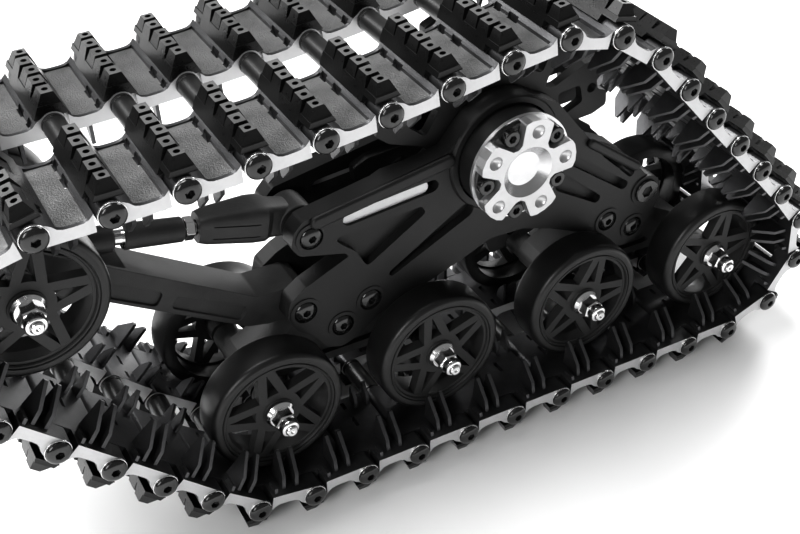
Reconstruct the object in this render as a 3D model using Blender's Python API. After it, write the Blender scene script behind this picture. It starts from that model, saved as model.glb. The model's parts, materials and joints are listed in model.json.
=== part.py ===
"""Tracked tank chassis unit: a triangular crawler track with an unsprung rocker undercarriage.

X runs along the bottom run (front idler at -X), Y across the track, Z up. The origin lies under
the middle of the object, on the ground. Lengths in this file are millimetres until MM is applied.
"""

import math

import bmesh
import bpy
from mathutils import Matrix, Vector

MM = 0.001

# Track belt
PITCH = 16.0
LINK_COUNT = 38
PIN_HEIGHT = 7.6
LINK_HALF_WIDTH = 33.6
WINDOW_HALF_WIDTH = 7.0
KNUCKLE_SPLIT = 28.05
GAP = 0.3
LOBE_R = 3.2
INNER_FACE = 3.0
PLATE_END = 3.6
PLATE_OUTER_FACE = 0.7
BARREL_R = 2.7
HEAD_R = 2.55
HEAD_HEIGHT = 2.0

# Grouser pads
PAD_INNER = 7.0
PAD_OUTER = 33.2
PAD_BLOCKS = 5
PAD_BASE_HALF = 4.2
PAD_TOP_HALF = 1.6
PAD_ROOT = 2.0
PAD_SHELF = 3.7
PAD_GROOVE = 4.6
PAD_END = 4.5

# Guide fins on the inside of each link
FIN_THICKNESS = 1.0
FIN_STATIONS = (7.7, 11.4)
FIN_OUTER = 31.4
FIN_INNER = 24.4
FIN_HEIGHT = 8.2

# Road wheels and idler wheels
WHEEL_R = 18.6
WHEEL_SIDES = 18
WHEEL_INNER_FACE = 13.2
WHEEL_OUTER_FACE = 23.3
RIM_R = 15.2
WHEEL_HUB_R = 3.9
WEB_R = 6.2
WHEEL_BORE_R = 2.0
AXLE_R = 1.5
AXLE_END = 31.2
WHEEL_SPACING = 48.8
WHEEL_TO_BELT = 1.3
CORNER_PIN_R = 24.2
STAR_TURNS = (101.5, 102.0, 73.0, 77.0)
IDLER_STAR_TURN = 76.7
CORNER_SLACK = 1.0
SPROCKET_PIN_R = 42.4
TOP_RUN_SAG = 3.0
CHAIN_START_X = -69.0
WHEEL_Z = PIN_HEIGHT + INNER_FACE + WHEEL_TO_BELT + WHEEL_R

# Drive
HUB_X = 0.0
HUB_Z = 82.2
SPROCKET_R = 37.8
SPROCKET_ARMS = 8
SPROCKET_PHASE = 15.0
DISC_INNER = 3.0
DISC_OUTER = 5.8
BARREL_NEAR_R = 14.6
BARREL_FAR_R = 9.4
STAR_R = 15.1
STAR_ARMS = 5
STAR_PHASE = 79.5
STAR_FRONT = 22.8
STAR_BACK = 18.4

# Frame plates
PLATE_INNER = 6.2
PLATE_OUTER = 11.6
COLLAR_R = 17.0
UPPER_PIVOT = (-57.1, 73.7)
ARM_PIVOT = (-59.5, 50.8)
ROCKER_PIVOT_X = 48.8
ROCKER_PIVOT_Z = 42.4
FRAME_SCREWS = ((-40.3, 47.9), (38.7, 47.6))
STANDOFF = (51.7, 54.5)
PEG_R = 2.2

# Idler and tensioner
IDLER_Z = 86.8
IDLER_REACH = (-140.0, -120.0)
CORE_HALF = 5.9
FORK_HALF = 4.6


def chain_path(idler_x):
    """The closed line that the hinge pins follow, run anticlockwise seen from -Y, and its points."""
    corner_z = PIN_HEIGHT + CORNER_PIN_R
    circles = [
        (-1.5 * WHEEL_SPACING - CORNER_SLACK, corner_z, CORNER_PIN_R),
        (1.5 * WHEEL_SPACING + CORNER_SLACK, corner_z, CORNER_PIN_R),
        (HUB_X, HUB_Z, SPROCKET_PIN_R),
        (idler_x, IDLER_Z, CORNER_PIN_R),
    ]
    points = []
    for i, (x, z, r) in enumerate(circles):
        after = circles[(i + 1) % 4]
        first = tangent_angle(circles[i - 1], circles[i])
        last = tangent_angle(circles[i], after)
        while last < first:
            last += 2 * math.pi
        steps = max(2, int(r * (last - first) / 0.5))
        for s in range(steps + 1):
            a = first + (last - first) * s / steps
            points.append((x + r * math.cos(a), z + r * math.sin(a)))
        if i == 2:
            start = points[-1]
            end = (after[0] + after[2] * math.cos(last), after[1] + after[2] * math.sin(last))
            for s in range(1, 120):
                t = s / 120
                drop = TOP_RUN_SAG * 4 * t * (1 - t)
                px = start[0] + (end[0] - start[0]) * t
                pz = start[1] + (end[1] - start[1]) * t
                points.append((px, pz - drop))
    return points


def tangent_angle(a, b):
    """The direction from each centre to the outer common tangent of two circles, counter-clockwise."""
    dx = b[0] - a[0]
    dz = b[1] - a[1]
    span = math.hypot(dx, dz)
    return math.atan2(dz, dx) - math.acos((a[2] - b[2]) / span)


def walk_chain(idler_x):
    """Hinge pins one pitch apart along the path, and how far past the first pin the last link lands."""
    path = chain_path(idler_x)
    turn = max(range(len(path)), key=lambda i: (path[i][1] <= PIN_HEIGHT + 1e-6, path[i][0]))
    start = (CHAIN_START_X, PIN_HEIGHT)
    line = [start] + path[turn:] + path[:turn] + [(start[0] + 2 * PITCH, PIN_HEIGHT)]
    pins = [start]
    index = 0
    along = 0.0
    while len(pins) <= LINK_COUNT and index + 1 < len(line):
        p = line[index]
        q = line[index + 1]
        hit = circle_hit(pins[-1], p, q, along)
        if hit is None:
            index += 1
            along = 0.0
        else:
            along = hit
            pins.append((p[0] + (q[0] - p[0]) * hit, p[1] + (q[1] - p[1]) * hit))
    if len(pins) <= LINK_COUNT:
        return pins, PITCH
    last = pins.pop()
    return pins, last[0] - start[0]


def circle_hit(centre, p, q, along):
    """Where the segment p-q leaves the circle of one pitch about centre, as a fraction, or None."""
    dx = q[0] - p[0]
    dz = q[1] - p[1]
    fx = p[0] - centre[0]
    fz = p[1] - centre[1]
    a = dx * dx + dz * dz
    if a < 1e-12:
        return None
    b = 2 * (fx * dx + fz * dz)
    c = fx * fx + fz * fz - PITCH * PITCH
    disc = b * b - 4 * a * c
    if disc < 0:
        return None
    t = (-b + math.sqrt(disc)) / (2 * a)
    return t if along < t <= 1 else None


def closed_chain():
    """The idler position that draws the belt up so that its last link meets its first, and the pins."""
    low = IDLER_REACH[0]
    high = IDLER_REACH[1]
    for _ in range(50):
        mid = (low + high) / 2
        if walk_chain(mid)[1] > 0:
            high = mid
        else:
            low = mid
    return mid, walk_chain(mid)[0]


def clear_scene():
    for obj in list(bpy.data.objects):
        bpy.data.objects.remove(obj, do_unlink=True)
    for mesh in list(bpy.data.meshes):
        bpy.data.meshes.remove(mesh)


def make_material(name, colour, metallic, roughness):
    mat = bpy.data.materials.new(name)
    mat.use_nodes = True
    shader = mat.node_tree.nodes["Principled BSDF"]
    shader.inputs["Base Color"].default_value = (*colour, 1.0)
    shader.inputs["Metallic"].default_value = metallic
    shader.inputs["Roughness"].default_value = roughness
    mat.diffuse_color = (*colour, 1.0)
    return mat


def mesh_object(name, points, faces):
    """A closed mesh from points in millimetres."""
    mesh = bpy.data.meshes.new(name)
    mesh.from_pydata([Vector(p) * MM for p in points], [], faces)
    bm = bmesh.new()
    bm.from_mesh(mesh)
    bmesh.ops.recalc_face_normals(bm, faces=bm.faces)
    bm.to_mesh(mesh)
    bm.free()
    obj = bpy.data.objects.new(name, mesh)
    bpy.context.scene.collection.objects.link(obj)
    return obj


def loft(name, rings):
    """Skins rings of equal point count and caps both ends."""
    count = len(rings[0])
    points = [p for ring in rings for p in ring]
    faces = [tuple(range(count))]
    for r in range(len(rings) - 1):
        for i in range(count):
            j = (i + 1) % count
            faces.append((r * count + i, r * count + j, (r + 1) * count + j, (r + 1) * count + i))
    faces.append(tuple(range((len(rings) - 1) * count, len(rings) * count)))
    return mesh_object(name, points, faces)


def prism(name, outline, y0, y1):
    """An outline of (x, z) points, run from y0 to y1."""
    return loft(name, [[(x, y, z) for x, z in outline] for y in (y0, y1)])


def circle(x, z, r, count, start=0.0):
    """(x, z) points round a circle, flat sides straddling the start angle."""
    step = 2 * math.pi / count
    turn = math.radians(start) + step / 2
    return [(x + r * math.cos(turn + i * step), z + r * math.sin(turn + i * step)) for i in range(count)]


def drum(name, centre, sections, count, start=0.0):
    """A turned shape about a line along Y: sections are (y, radius)."""
    rings = [[(x, y, z) for x, z in circle(*centre, r, count, start)] for y, r in sections]
    return loft(name, rings)


def slot_outline(p, q, rp, rq, count=2):
    """A slot round two ends, with its own radius at each."""
    along = math.atan2(q[1] - p[1], q[0] - p[0])
    points = []
    for (x, z), r, turn in ((q, rq, -math.pi / 2), (p, rp, math.pi / 2)):
        for i in range(count + 1):
            a = along + turn + math.pi * i / count
            points.append((x + r * math.cos(a), z + r * math.sin(a)))
    return points


def combine(base, others, operation):
    """Joins or cuts solids, and leaves the result as plain mesh."""
    for other in others:
        step = base.modifiers.new("step", "BOOLEAN")
        step.operation = operation
        step.solver = "EXACT"
        step.object = other
    graph = bpy.context.evaluated_depsgraph_get()
    graph.update()
    mesh = bpy.data.meshes.new_from_object(base.evaluated_get(graph))
    base.modifiers.clear()
    base.data = mesh
    mesh.name = base.name
    for other in others:
        bpy.data.objects.remove(other, do_unlink=True)
    tidy_mesh(mesh)
    return base


def tidy_mesh(mesh):
    bm = bmesh.new()
    bm.from_mesh(mesh)
    bmesh.ops.remove_doubles(bm, verts=bm.verts, dist=0.000001)
    bmesh.ops.dissolve_limit(bm, angle_limit=math.radians(0.2), verts=bm.verts, edges=bm.edges)
    bm.to_mesh(mesh)
    bm.free()


def join(base, others):
    return combine(base, others, "UNION")


def cut(base, others):
    return combine(base, others, "DIFFERENCE")


def finish(obj, material, origin=None, smooth=True):
    """Sets the colour, the smoothing and, for a moving piece, an origin (x, z) on its axis."""
    obj.data.materials.clear()
    obj.data.materials.append(material)
    if smooth:
        obj.data.shade_smooth()
        obj.data.set_sharp_from_angle(angle=math.radians(35))
    if origin is not None:
        shift = Vector((origin[0], 0.0, origin[1])) * MM
        obj.data.transform(Matrix.Translation(-shift))
        obj.location = shift
    return obj


# Track links


def link_outlines():
    """The plate, its front knuckle and its rear knuckle, as (along, inward) outlines."""
    end = PITCH - PLATE_END
    plate = [
        (PLATE_END, INNER_FACE),
        (PLATE_END, -PLATE_OUTER_FACE),
        (end, -PLATE_OUTER_FACE),
        (end, INNER_FACE),
    ]
    knuckle = [(PLATE_END, -PLATE_OUTER_FACE)]
    for angle in (52, 116, 180):
        a = math.radians(angle)
        knuckle.append((LOBE_R * math.cos(a), -LOBE_R * math.sin(a)))
    knuckle += [(-1.4, INNER_FACE), (PLATE_END, INNER_FACE)]
    rear = [(PITCH - u, w) for u, w in knuckle]
    return plate, knuckle, rear


def pad_half_width(depth):
    """Half width of a pad at this distance outside the pins."""
    share = (depth - PAD_ROOT) / (PIN_HEIGHT - PAD_ROOT)
    return PAD_BASE_HALF + (PAD_TOP_HALF - PAD_BASE_HALF) * share


def pad_solid(name, side):
    """A grouser pad: tapered blocks with V-grooves between them; its end clears the next link's knuckle."""
    span = (PAD_OUTER - PAD_INNER) / PAD_BLOCKS
    stations = [(PAD_INNER, PIN_HEIGHT)]
    for i in range(1, PAD_BLOCKS):
        y = PAD_INNER + i * span
        stations += [(y - 0.55, PIN_HEIGHT), (y, PAD_GROOVE), (y + 0.55, PIN_HEIGHT)]
    stations += [(PAD_OUTER - 1, PIN_HEIGHT), (PAD_OUTER, PAD_END)]
    rings = []
    for y, top in stations:
        root = PAD_ROOT if y < KNUCKLE_SPLIT - GAP else PAD_SHELF
        low = pad_half_width(root)
        high = pad_half_width(top)
        y *= side
        rings.append([(-low, y, -root), (-high, y, -top), (high, y, -top), (low, y, -root)])
    return loft(name, rings)


def fin_solid(name, station, side):
    """One guide fin: a thin plate across the belt, high on its inner side."""
    root = INNER_FACE - 0.3
    tip = INNER_FACE + FIN_HEIGHT
    outline = [(FIN_OUTER, root), (FIN_INNER + 0.6, tip), (FIN_INNER, root)]
    half = FIN_THICKNESS / 2
    return loft(name, [[(u, side * y, w) for y, w in outline] for u in (station - half, station + half)])


def base_link():
    """One link about its own front pin: two plates on a barrel, with their pads, fins and screw heads."""
    plate, knuckle, rear = link_outlines()
    link = drum("link", (0.0, 0.0), ((-WINDOW_HALF_WIDTH - 1, BARREL_R), (WINDOW_HALF_WIDTH + 1, BARREL_R)), 6)
    pieces = []
    for side in (-1, 1):
        inner = side * WINDOW_HALF_WIDTH
        outer = side * LINK_HALF_WIDTH
        pieces.append(prism("plate", plate, inner, outer))
        pieces.append(prism("front", knuckle, inner, side * (KNUCKLE_SPLIT - GAP / 2)))
        pieces.append(prism("rear", rear, side * (KNUCKLE_SPLIT + GAP / 2), outer))
        head = circle(PITCH, 0.0, HEAD_R, 6)
        pieces.append(prism("head", head, outer - side, outer + side * HEAD_HEIGHT))
        pieces.append(pad_solid("pad", side))
        for station in FIN_STATIONS:
            pieces.append(fin_solid("fin", station, side))
    return join(link, pieces)


def chain_extent(mesh, pins):
    """The lowest and highest x that the links reach."""
    low = 1e9
    high = -1e9
    for i in range(LINK_COUNT):
        turn = link_turn(pins, i)
        for vertex in mesh.vertices:
            x = pins[i][0] * MM + vertex.co.x * math.cos(turn) + vertex.co.z * math.sin(turn)
            low = min(low, x)
            high = max(high, x)
    return low / MM, high / MM


def link_turn(pins, i):
    after = pins[(i + 1) % LINK_COUNT]
    return -math.atan2(after[1] - pins[i][1], after[0] - pins[i][0])


def make_links(pattern, pins, shift, material):
    """A copy of the link at every hinge pin."""
    for i in range(LINK_COUNT):
        link = bpy.data.objects.new(f"link_{i + 1:02d}", pattern.data.copy())
        bpy.context.scene.collection.objects.link(link)
        finish(link, material)
        link.location = Vector(((pins[i][0] + shift) * MM, 0.0, pins[i][1] * MM))
        link.rotation_euler = (0.0, link_turn(pins, i), 0.0)
    bpy.data.objects.remove(pattern, do_unlink=True)


# Wheels


def make_wheel(name, centre, side, turn, material):
    """A tyred wheel with a five-pointed star of split arms; side is -1 near and 1 far."""
    y_in = side * WHEEL_INNER_FACE
    y_out = side * WHEEL_OUTER_FACE
    round_edge = 1.3
    sections = ((y_in, WHEEL_R), (y_out - side * round_edge, WHEEL_R), (y_out, WHEEL_R - round_edge))
    wheel = drum(name, centre, sections, WHEEL_SIDES)
    bore = drum("inside", centre, ((y_in - side, RIM_R), (y_out + side, RIM_R)), WHEEL_SIDES)
    wheel = cut(wheel, [bore])
    web_in = y_out - side * 4.2
    web_out = y_out - side * 0.9
    spokes = [drum("hub", centre, ((y_out - side * 9.2, WHEEL_HUB_R), (y_out - side * 0.3, WHEEL_HUB_R)), 8)]
    spokes.append(drum("web", centre, ((web_in, WEB_R), (web_out, WEB_R)), 10))
    for i in range(5):
        for lean in (-1, 1):
            a = math.radians(turn + 72 * i + lean * 4)
            b = math.radians(turn + 72 * i + lean * 33)
            far = (centre[0] + (RIM_R + 0.9) * math.cos(a), centre[1] + (RIM_R + 0.9) * math.sin(a))
            near = (centre[0] + 4.9 * math.cos(b), centre[1] + 4.9 * math.sin(b))
            spokes.append(prism("spoke", strip(near, far, 1.05), web_in, web_out))
    wheel = join(wheel, spokes)
    hole = drum("bore", centre, ((y_out - side * 12, WHEEL_BORE_R), (y_out + side * 2, WHEEL_BORE_R)), 8)
    wheel = cut(wheel, [hole])
    return finish(wheel, material, centre)


def strip(p, q, half):
    """A straight bar outline from p to q."""
    dx = q[0] - p[0]
    dz = q[1] - p[1]
    span = math.hypot(dx, dz)
    nx = -dz / span * half
    nz = dx / span * half
    return [(p[0] + nx, p[1] + nz), (p[0] - nx, p[1] - nz), (q[0] - nx, q[1] - nz), (q[0] + nx, q[1] + nz)]


def axle_solids(centre, half_core):
    """An axle with a flanged nut at each end."""
    solids = []
    for side in (-1, 1):
        face = side * (WHEEL_OUTER_FACE - 0.3 + GAP)
        solids.append(drum("shaft", centre, ((side * half_core, AXLE_R), (face + side, AXLE_R)), 6))
        solids.append(drum("nut", centre, ((face, 3.6), (face + side * 4.6, 3.4)), 6))
        solids.append(drum("collar", centre, ((face + side, 2.5), (side * AXLE_END, 2.4)), 8))
    return solids


# Drive


def sprocket_outline():
    """One toothed disc: tapered arms, each ending in two teeth."""
    points = []
    for i in range(SPROCKET_ARMS):
        middle = SPROCKET_PHASE + 360 / SPROCKET_ARMS * i
        for offset, r in (
            (-22.5, 17.4),
            (-9.6, SPROCKET_R - 1.4),
            (-3.4, SPROCKET_R),
            (0.0, 35.0),
            (3.4, SPROCKET_R),
            (9.6, SPROCKET_R - 1.4),
        ):
            a = math.radians(middle + offset)
            points.append((HUB_X + r * math.cos(a), HUB_Z + r * math.sin(a)))
    return points


def make_sprocket(shift, material):
    """The drive sprocket: a barrel that carries two toothed discs."""
    centre = (HUB_X + shift, HUB_Z)
    sections = (
        (-STAR_BACK + GAP, BARREL_NEAR_R),
        (-CORE_HALF + 0.1, BARREL_NEAR_R),
        (-CORE_HALF + 0.1, 12.0),
        (CORE_HALF - 0.1, 12.0),
        (CORE_HALF - 0.1, BARREL_FAR_R),
        (PLATE_OUTER + 2.4, BARREL_FAR_R),
    )
    sprocket = drum("sprocket", centre, sections, 20)
    outline = [(x + shift, z) for x, z in sprocket_outline()]
    discs = [prism("disc", outline, side * DISC_INNER, side * DISC_OUTER) for side in (-1, 1)]
    sprocket = join(sprocket, discs)
    holes = []
    for i in range(SPROCKET_ARMS):
        a = math.radians(SPROCKET_PHASE + 360 / SPROCKET_ARMS * i)
        near = (centre[0] + 19.5 * math.cos(a), centre[1] + 19.5 * math.sin(a))
        far = (centre[0] + 30.5 * math.cos(a), centre[1] + 30.5 * math.sin(a))
        holes.append(prism("hole", slot_outline(near, far, 3.8, 2.6, 1), -8, 8))
    far_end = PLATE_OUTER + 2.4
    holes.append(drum("drive_bore", centre, ((far_end - 12, 3.6), (far_end + 1, 3.6)), 6))
    return finish(cut(sprocket, holes), material, centre)


def make_star(shift, material):
    """The silver hub cap: a disc with five broad arms, a blind dimple in each and a dished middle."""
    centre = (HUB_X + shift, HUB_Z)
    cap = drum("hub_cap", centre, ((-STAR_BACK, STAR_R), (-STAR_BACK - 1.1, STAR_R)), 24)
    outline = []
    for i in range(STAR_ARMS):
        middle = STAR_PHASE + 72 * i
        for offset, r in ((-36, 8.4), (-26, 9.0), (-17, 14.7), (0, STAR_R), (17, 14.7), (26, 9.0)):
            a = math.radians(middle + offset)
            outline.append((centre[0] + r * math.cos(a), centre[1] + r * math.sin(a)))
    cap = join(cap, [prism("arms", outline, -STAR_BACK - 0.5, -STAR_FRONT)])
    cutters = [drum("dish", centre, ((-STAR_FRONT - 1, 7.6), (-STAR_FRONT + 2.4, 4.6)), 12)]
    for i in range(STAR_ARMS):
        a = math.radians(STAR_PHASE + 72 * i)
        dimple = (centre[0] + 11.7 * math.cos(a), centre[1] + 11.7 * math.sin(a))
        cutters.append(drum("dimple", dimple, ((-STAR_FRONT - 1, 1.7), (-STAR_FRONT + 1.4, 1.4)), 6))
    return finish(cut(cap, cutters), material, centre)


# Frame


def plate_outline():
    """The outline shared by both frame plates, seen from the near side."""
    return [
        (-61.9, 76.2), (-59.2, 78.6), (-17.2, 87.6), (-14.0, 91.9), (-8.5, 97.0), (0.0, 99.2),
        (6.5, 98.2), (28.2, 78.6), (37.4, 74.0), (45.6, 66.4), (51.0, 60.2), (56.6, 56.2),
        (58.0, 50.6), (55.0, 43.0), (51.4, 37.6), (46.6, 36.0), (41.2, 38.6), (34.6, 44.2),
        (18.6, 51.4), (8.4, 54.9), (-2.4, 55.2), (-13.0, 50.6), (-30.0, 44.4), (-38.0, 41.6),
        (-43.6, 36.8), (-49.0, 34.9), (-54.2, 35.6), (-57.6, 40.6), (-63.4, 44.6), (-65.9, 50.6),
        (-64.2, 56.8), (-59.0, 59.4), (-46.4, 64.6), (-53.6, 69.3), (-60.6, 69.2), (-62.8, 72.4),
    ]


def make_plate(name, side, bore_r, shift, material):
    """One moulded frame half with its ribs, pockets, pivot pegs and standoffs; side is -1 near, 1 far."""
    y_in = side * PLATE_INNER
    y_out = side * PLATE_OUTER
    plate = prism(name, [(x + shift, z) for x, z in plate_outline()], y_in, y_out)
    centre = (HUB_X + shift, HUB_Z)
    pieces = [drum("collar", centre, ((y_in, COLLAR_R), (y_out + side * 0.8, COLLAR_R - 0.4)), 24)]
    pegs = (UPPER_PIVOT, ARM_PIVOT, (-ROCKER_PIVOT_X, ROCKER_PIVOT_Z), (ROCKER_PIVOT_X, ROCKER_PIVOT_Z))
    for x, z in pegs:
        pieces.append(drum("peg", (x + shift, z), ((y_out - side, PEG_R), (side * GAP / 2, PEG_R)), 6))
    for x, z in FRAME_SCREWS:
        pieces.append(drum("spacer", (x + shift, z), ((y_out - side, 3.2), (side * GAP / 2, 3.2)), 6))
    for x, z in (*pegs, *FRAME_SCREWS):
        pieces.append(drum("head", (x + shift, z), ((y_out - side, 2.8), (y_out + side * 1.5, 2.8)), 6))
    plate = join(plate, pieces)
    cutters = [drum("bore", centre, ((y_in - side, bore_r), (y_out + side * 2, bore_r)), 24)]
    slots = (
        slot_outline((-46.2, 75.8), (-22.0, 78.3), 1.9, 1.9),
        slot_outline((34.6, 72.2), (45.4, 62.2), 1.5, 1.5),
    )
    pockets = (
        slot_outline((-33.6, 54.0), (-11.2, 67.2), 1.1, 2.3),
        slot_outline((20.6, 65.0), (33.6, 56.4), 2.4, 1.5),
        [(-51.4, 70.6), (-44.6, 65.2), (-41.6, 59.6), (-23.0, 70.8), (-25.4, 72.6)],
    )
    for outlines, floor in ((slots, y_in - side), (pockets, y_out - side * 3.2)):
        for outline in outlines:
            moved = [(x + shift, z) for x, z in outline]
            cutters.append(prism("pocket", moved, floor, y_out + side * 3))
    return finish(cut(plate, cutters), material)


def make_rocker(name, pivot_x, shift, material):
    """A bogie rocker: pivots in the frame and carries two axles with their nuts."""
    pivot = (pivot_x + shift, ROCKER_PIVOT_Z)
    half = WHEEL_SPACING / 2
    ends = [(pivot[0] - half, WHEEL_Z), (pivot[0] + half, WHEEL_Z)]
    outline = [
        (ends[0][0] - 4.0, WHEEL_Z + 1.5),
        (ends[0][0] - 3.2, WHEEL_Z - 3.0),
        (ends[0][0] + 1.5, WHEEL_Z - 4.2),
        (ends[1][0] - 1.5, WHEEL_Z - 4.2),
        (ends[1][0] + 3.2, WHEEL_Z - 3.0),
        (ends[1][0] + 4.0, WHEEL_Z + 1.5),
        (ends[1][0] + 1.5, WHEEL_Z + 4.4),
        (pivot[0] + 5.4, pivot[1] + 3.4),
        (pivot[0] + 2.4, pivot[1] + 5.6),
        (pivot[0] - 2.4, pivot[1] + 5.6),
        (pivot[0] - 5.4, pivot[1] + 3.4),
        (ends[0][0] - 1.5, WHEEL_Z + 4.4),
    ]
    rocker = prism(name, outline, -CORE_HALF, CORE_HALF)
    pieces = []
    for end in ends:
        pieces.append(drum("boss", end, ((-WHEEL_INNER_FACE + GAP, 3.9), (WHEEL_INNER_FACE - GAP, 3.9)), 8))
        pieces += axle_solids(end, CORE_HALF)
    rocker = join(rocker, pieces)
    bore = drum("bore", pivot, ((-20, PEG_R + 0.6), (20, PEG_R + 0.6)), 8)
    return finish(cut(rocker, [bore]), material, pivot)


# Idler arm and tensioner


def make_arm(idler, shift, material):
    """The cranked idler arm: a box beam with a pocket in each side and a fork round the idler axle."""
    pivot = (ARM_PIVOT[0] + shift, ARM_PIVOT[1])
    outline = [
        (pivot[0] + 3.6, pivot[1] + 3.4),
        (pivot[0] + 0.4, pivot[1] + 4.9),
        (pivot[0] - 10.6, pivot[1] + 4.9),
        (idler[0] + 6.6, idler[1] + 1.4),
        (idler[0] + 1.4, idler[1] + 4.6),
        (idler[0] - 3.4, idler[1] + 3.2),
        (idler[0] - 4.6, idler[1] - 1.2),
        (idler[0] - 1.6, idler[1] - 4.6),
        (pivot[0] - 14.0, pivot[1] - 3.6),
        (pivot[0] - 8.0, pivot[1] - 5.0),
        (pivot[0] + 0.6, pivot[1] - 5.0),
        (pivot[0] + 4.4, pivot[1] - 2.2),
    ]
    arm = prism("idler_arm", outline, -CORE_HALF, CORE_HALF)
    spacers = []
    for side in (-1, 1):
        ends = ((side * (FORK_HALF + 0.4), 3.8), (side * (WHEEL_INNER_FACE - GAP), 3.8))
        spacers.append(drum("boss", idler, ends, 8))
    arm = join(arm, spacers)
    slope = math.atan2(idler[1] - pivot[1] - 2.0, idler[0] - pivot[0] + 12.0)
    cutters = [drum("pivot_bore", pivot, ((-20, PEG_R + 0.6), (20, PEG_R + 0.6)), 8)]
    cutters.append(drum("axle_bore", idler, ((-30, AXLE_R + 0.5), (30, AXLE_R + 0.5)), 8))
    fork = [
        (idler[0] - 9.0, idler[1] + 9.0),
        (idler[0] - 9.0, idler[1] - 9.0),
        (idler[0] + 8.0, idler[1] - 12.0),
        (idler[0] + 27.0, idler[1] - 11.0),
        (idler[0] + 27.0, idler[1] + 9.0),
    ]
    cutters.append(prism("fork", fork, -FORK_HALF, FORK_HALF))
    for side in (-1, 1):
        for start, end in ((13.0, 27.0), (31.5, 51.0)):
            near = (pivot[0] - 12.0 + start * math.cos(slope), pivot[1] - 0.6 + start * math.sin(slope))
            far = (pivot[0] - 12.0 + end * math.cos(slope), pivot[1] - 0.6 + end * math.sin(slope))
            window = strip(near, far, 1.7)
            cutters.append(prism("window", window, side * (CORE_HALF - 1.0), side * (CORE_HALF + 2)))
    return finish(cut(arm, cutters), material, pivot)


def make_idler_axle(idler, material):
    """The steel axle through the idler arm, with a flanged nut at each end."""
    solids = axle_solids(idler, 0.0)
    shaft = drum("idler_axle", idler, ((-1, AXLE_R), (1, AXLE_R)), 6)
    return finish(join(shaft, solids), material, idler)


def along_rod(pivot, idler, name, sections, count, start=0.0):
    """A turned shape about the tensioner's own line: sections are (distance from the pivot, radius)."""
    direction = Vector((idler[0] - pivot[0], 0.0, idler[1] - pivot[1])).normalized()
    across = Vector((0.0, 1.0, 0.0))
    up = direction.cross(across)
    rings = []
    for distance, radius in sections:
        middle = Vector((pivot[0], 0.0, pivot[1])) + direction * distance
        ring = []
        for i in range(count):
            a = math.radians(start) + 2 * math.pi * (i + 0.5) / count
            ring.append(tuple(middle + across * radius * math.cos(a) + up * radius * math.sin(a)))
        rings.append(ring)
    return loft(name, rings)


def make_tensioner(idler, shift, plastic, steel):
    """A turnbuckle between the frame and the idler axle: rod end, stud, and sleeve with its own eye."""
    pivot = (UPPER_PIVOT[0] + shift, UPPER_PIVOT[1])
    span = math.hypot(idler[0] - pivot[0], idler[1] - pivot[1])
    rod = drum("tension_rod_end", pivot, ((-4.4, 5.2), (4.4, 5.2)), 12)
    body = along_rod(pivot, idler, "body", ((2.0, 4.6), (9.0, 4.8), (26.0, 3.5)), 10)
    rod = join(rod, [body])
    cutters = [
        drum("eye", pivot, ((-9, PEG_R + 0.6), (9, PEG_R + 0.6)), 8),
        along_rod(pivot, idler, "thread", ((9.0, 2.1), (30.0, 2.1)), 8),
    ]
    finish(cut(rod, cutters), plastic, pivot)
    sections = ((13.0, 1.6), (26.6, 1.6), (26.6, 3.1), (29.4, 3.1), (29.4, 1.6), (36.0, 1.6))
    stud = along_rod(pivot, idler, "tension_stud", sections, 8)
    finish(stud, steel, pivot)
    tube = ((29.7, 3.2), (45.0, 3.3), (45.0, 1.7), (47.2, 1.7), (47.2, 3.4), (span - 2.0, 2.6))
    sleeve = along_rod(pivot, idler, "tension_sleeve", tube, 10)
    sleeve = join(sleeve, [drum("ring", idler, ((-3.6, 4.4), (3.6, 4.4)), 12)])
    cutters = [
        drum("eye", idler, ((-9, AXLE_R + 1.0), (9, AXLE_R + 1.0)), 10),
        along_rod(pivot, idler, "thread", ((20.0, 2.0), (38.0, 2.0)), 8),
    ]
    finish(cut(sleeve, cutters), plastic, pivot)


def make_standoff(shift, material):
    """The steel spacer that ties the two frame plates at the rear."""
    centre = (STANDOFF[0] + shift, STANDOFF[1])
    flange = CORE_HALF - 1.6
    sections = (
        (-CORE_HALF, 3.4), (-flange, 3.4), (-flange, 2.6), (flange, 2.6), (flange, 3.4), (CORE_HALF, 3.4)
    )
    return finish(drum("rear_standoff", centre, sections, 8), material, centre)


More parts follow.
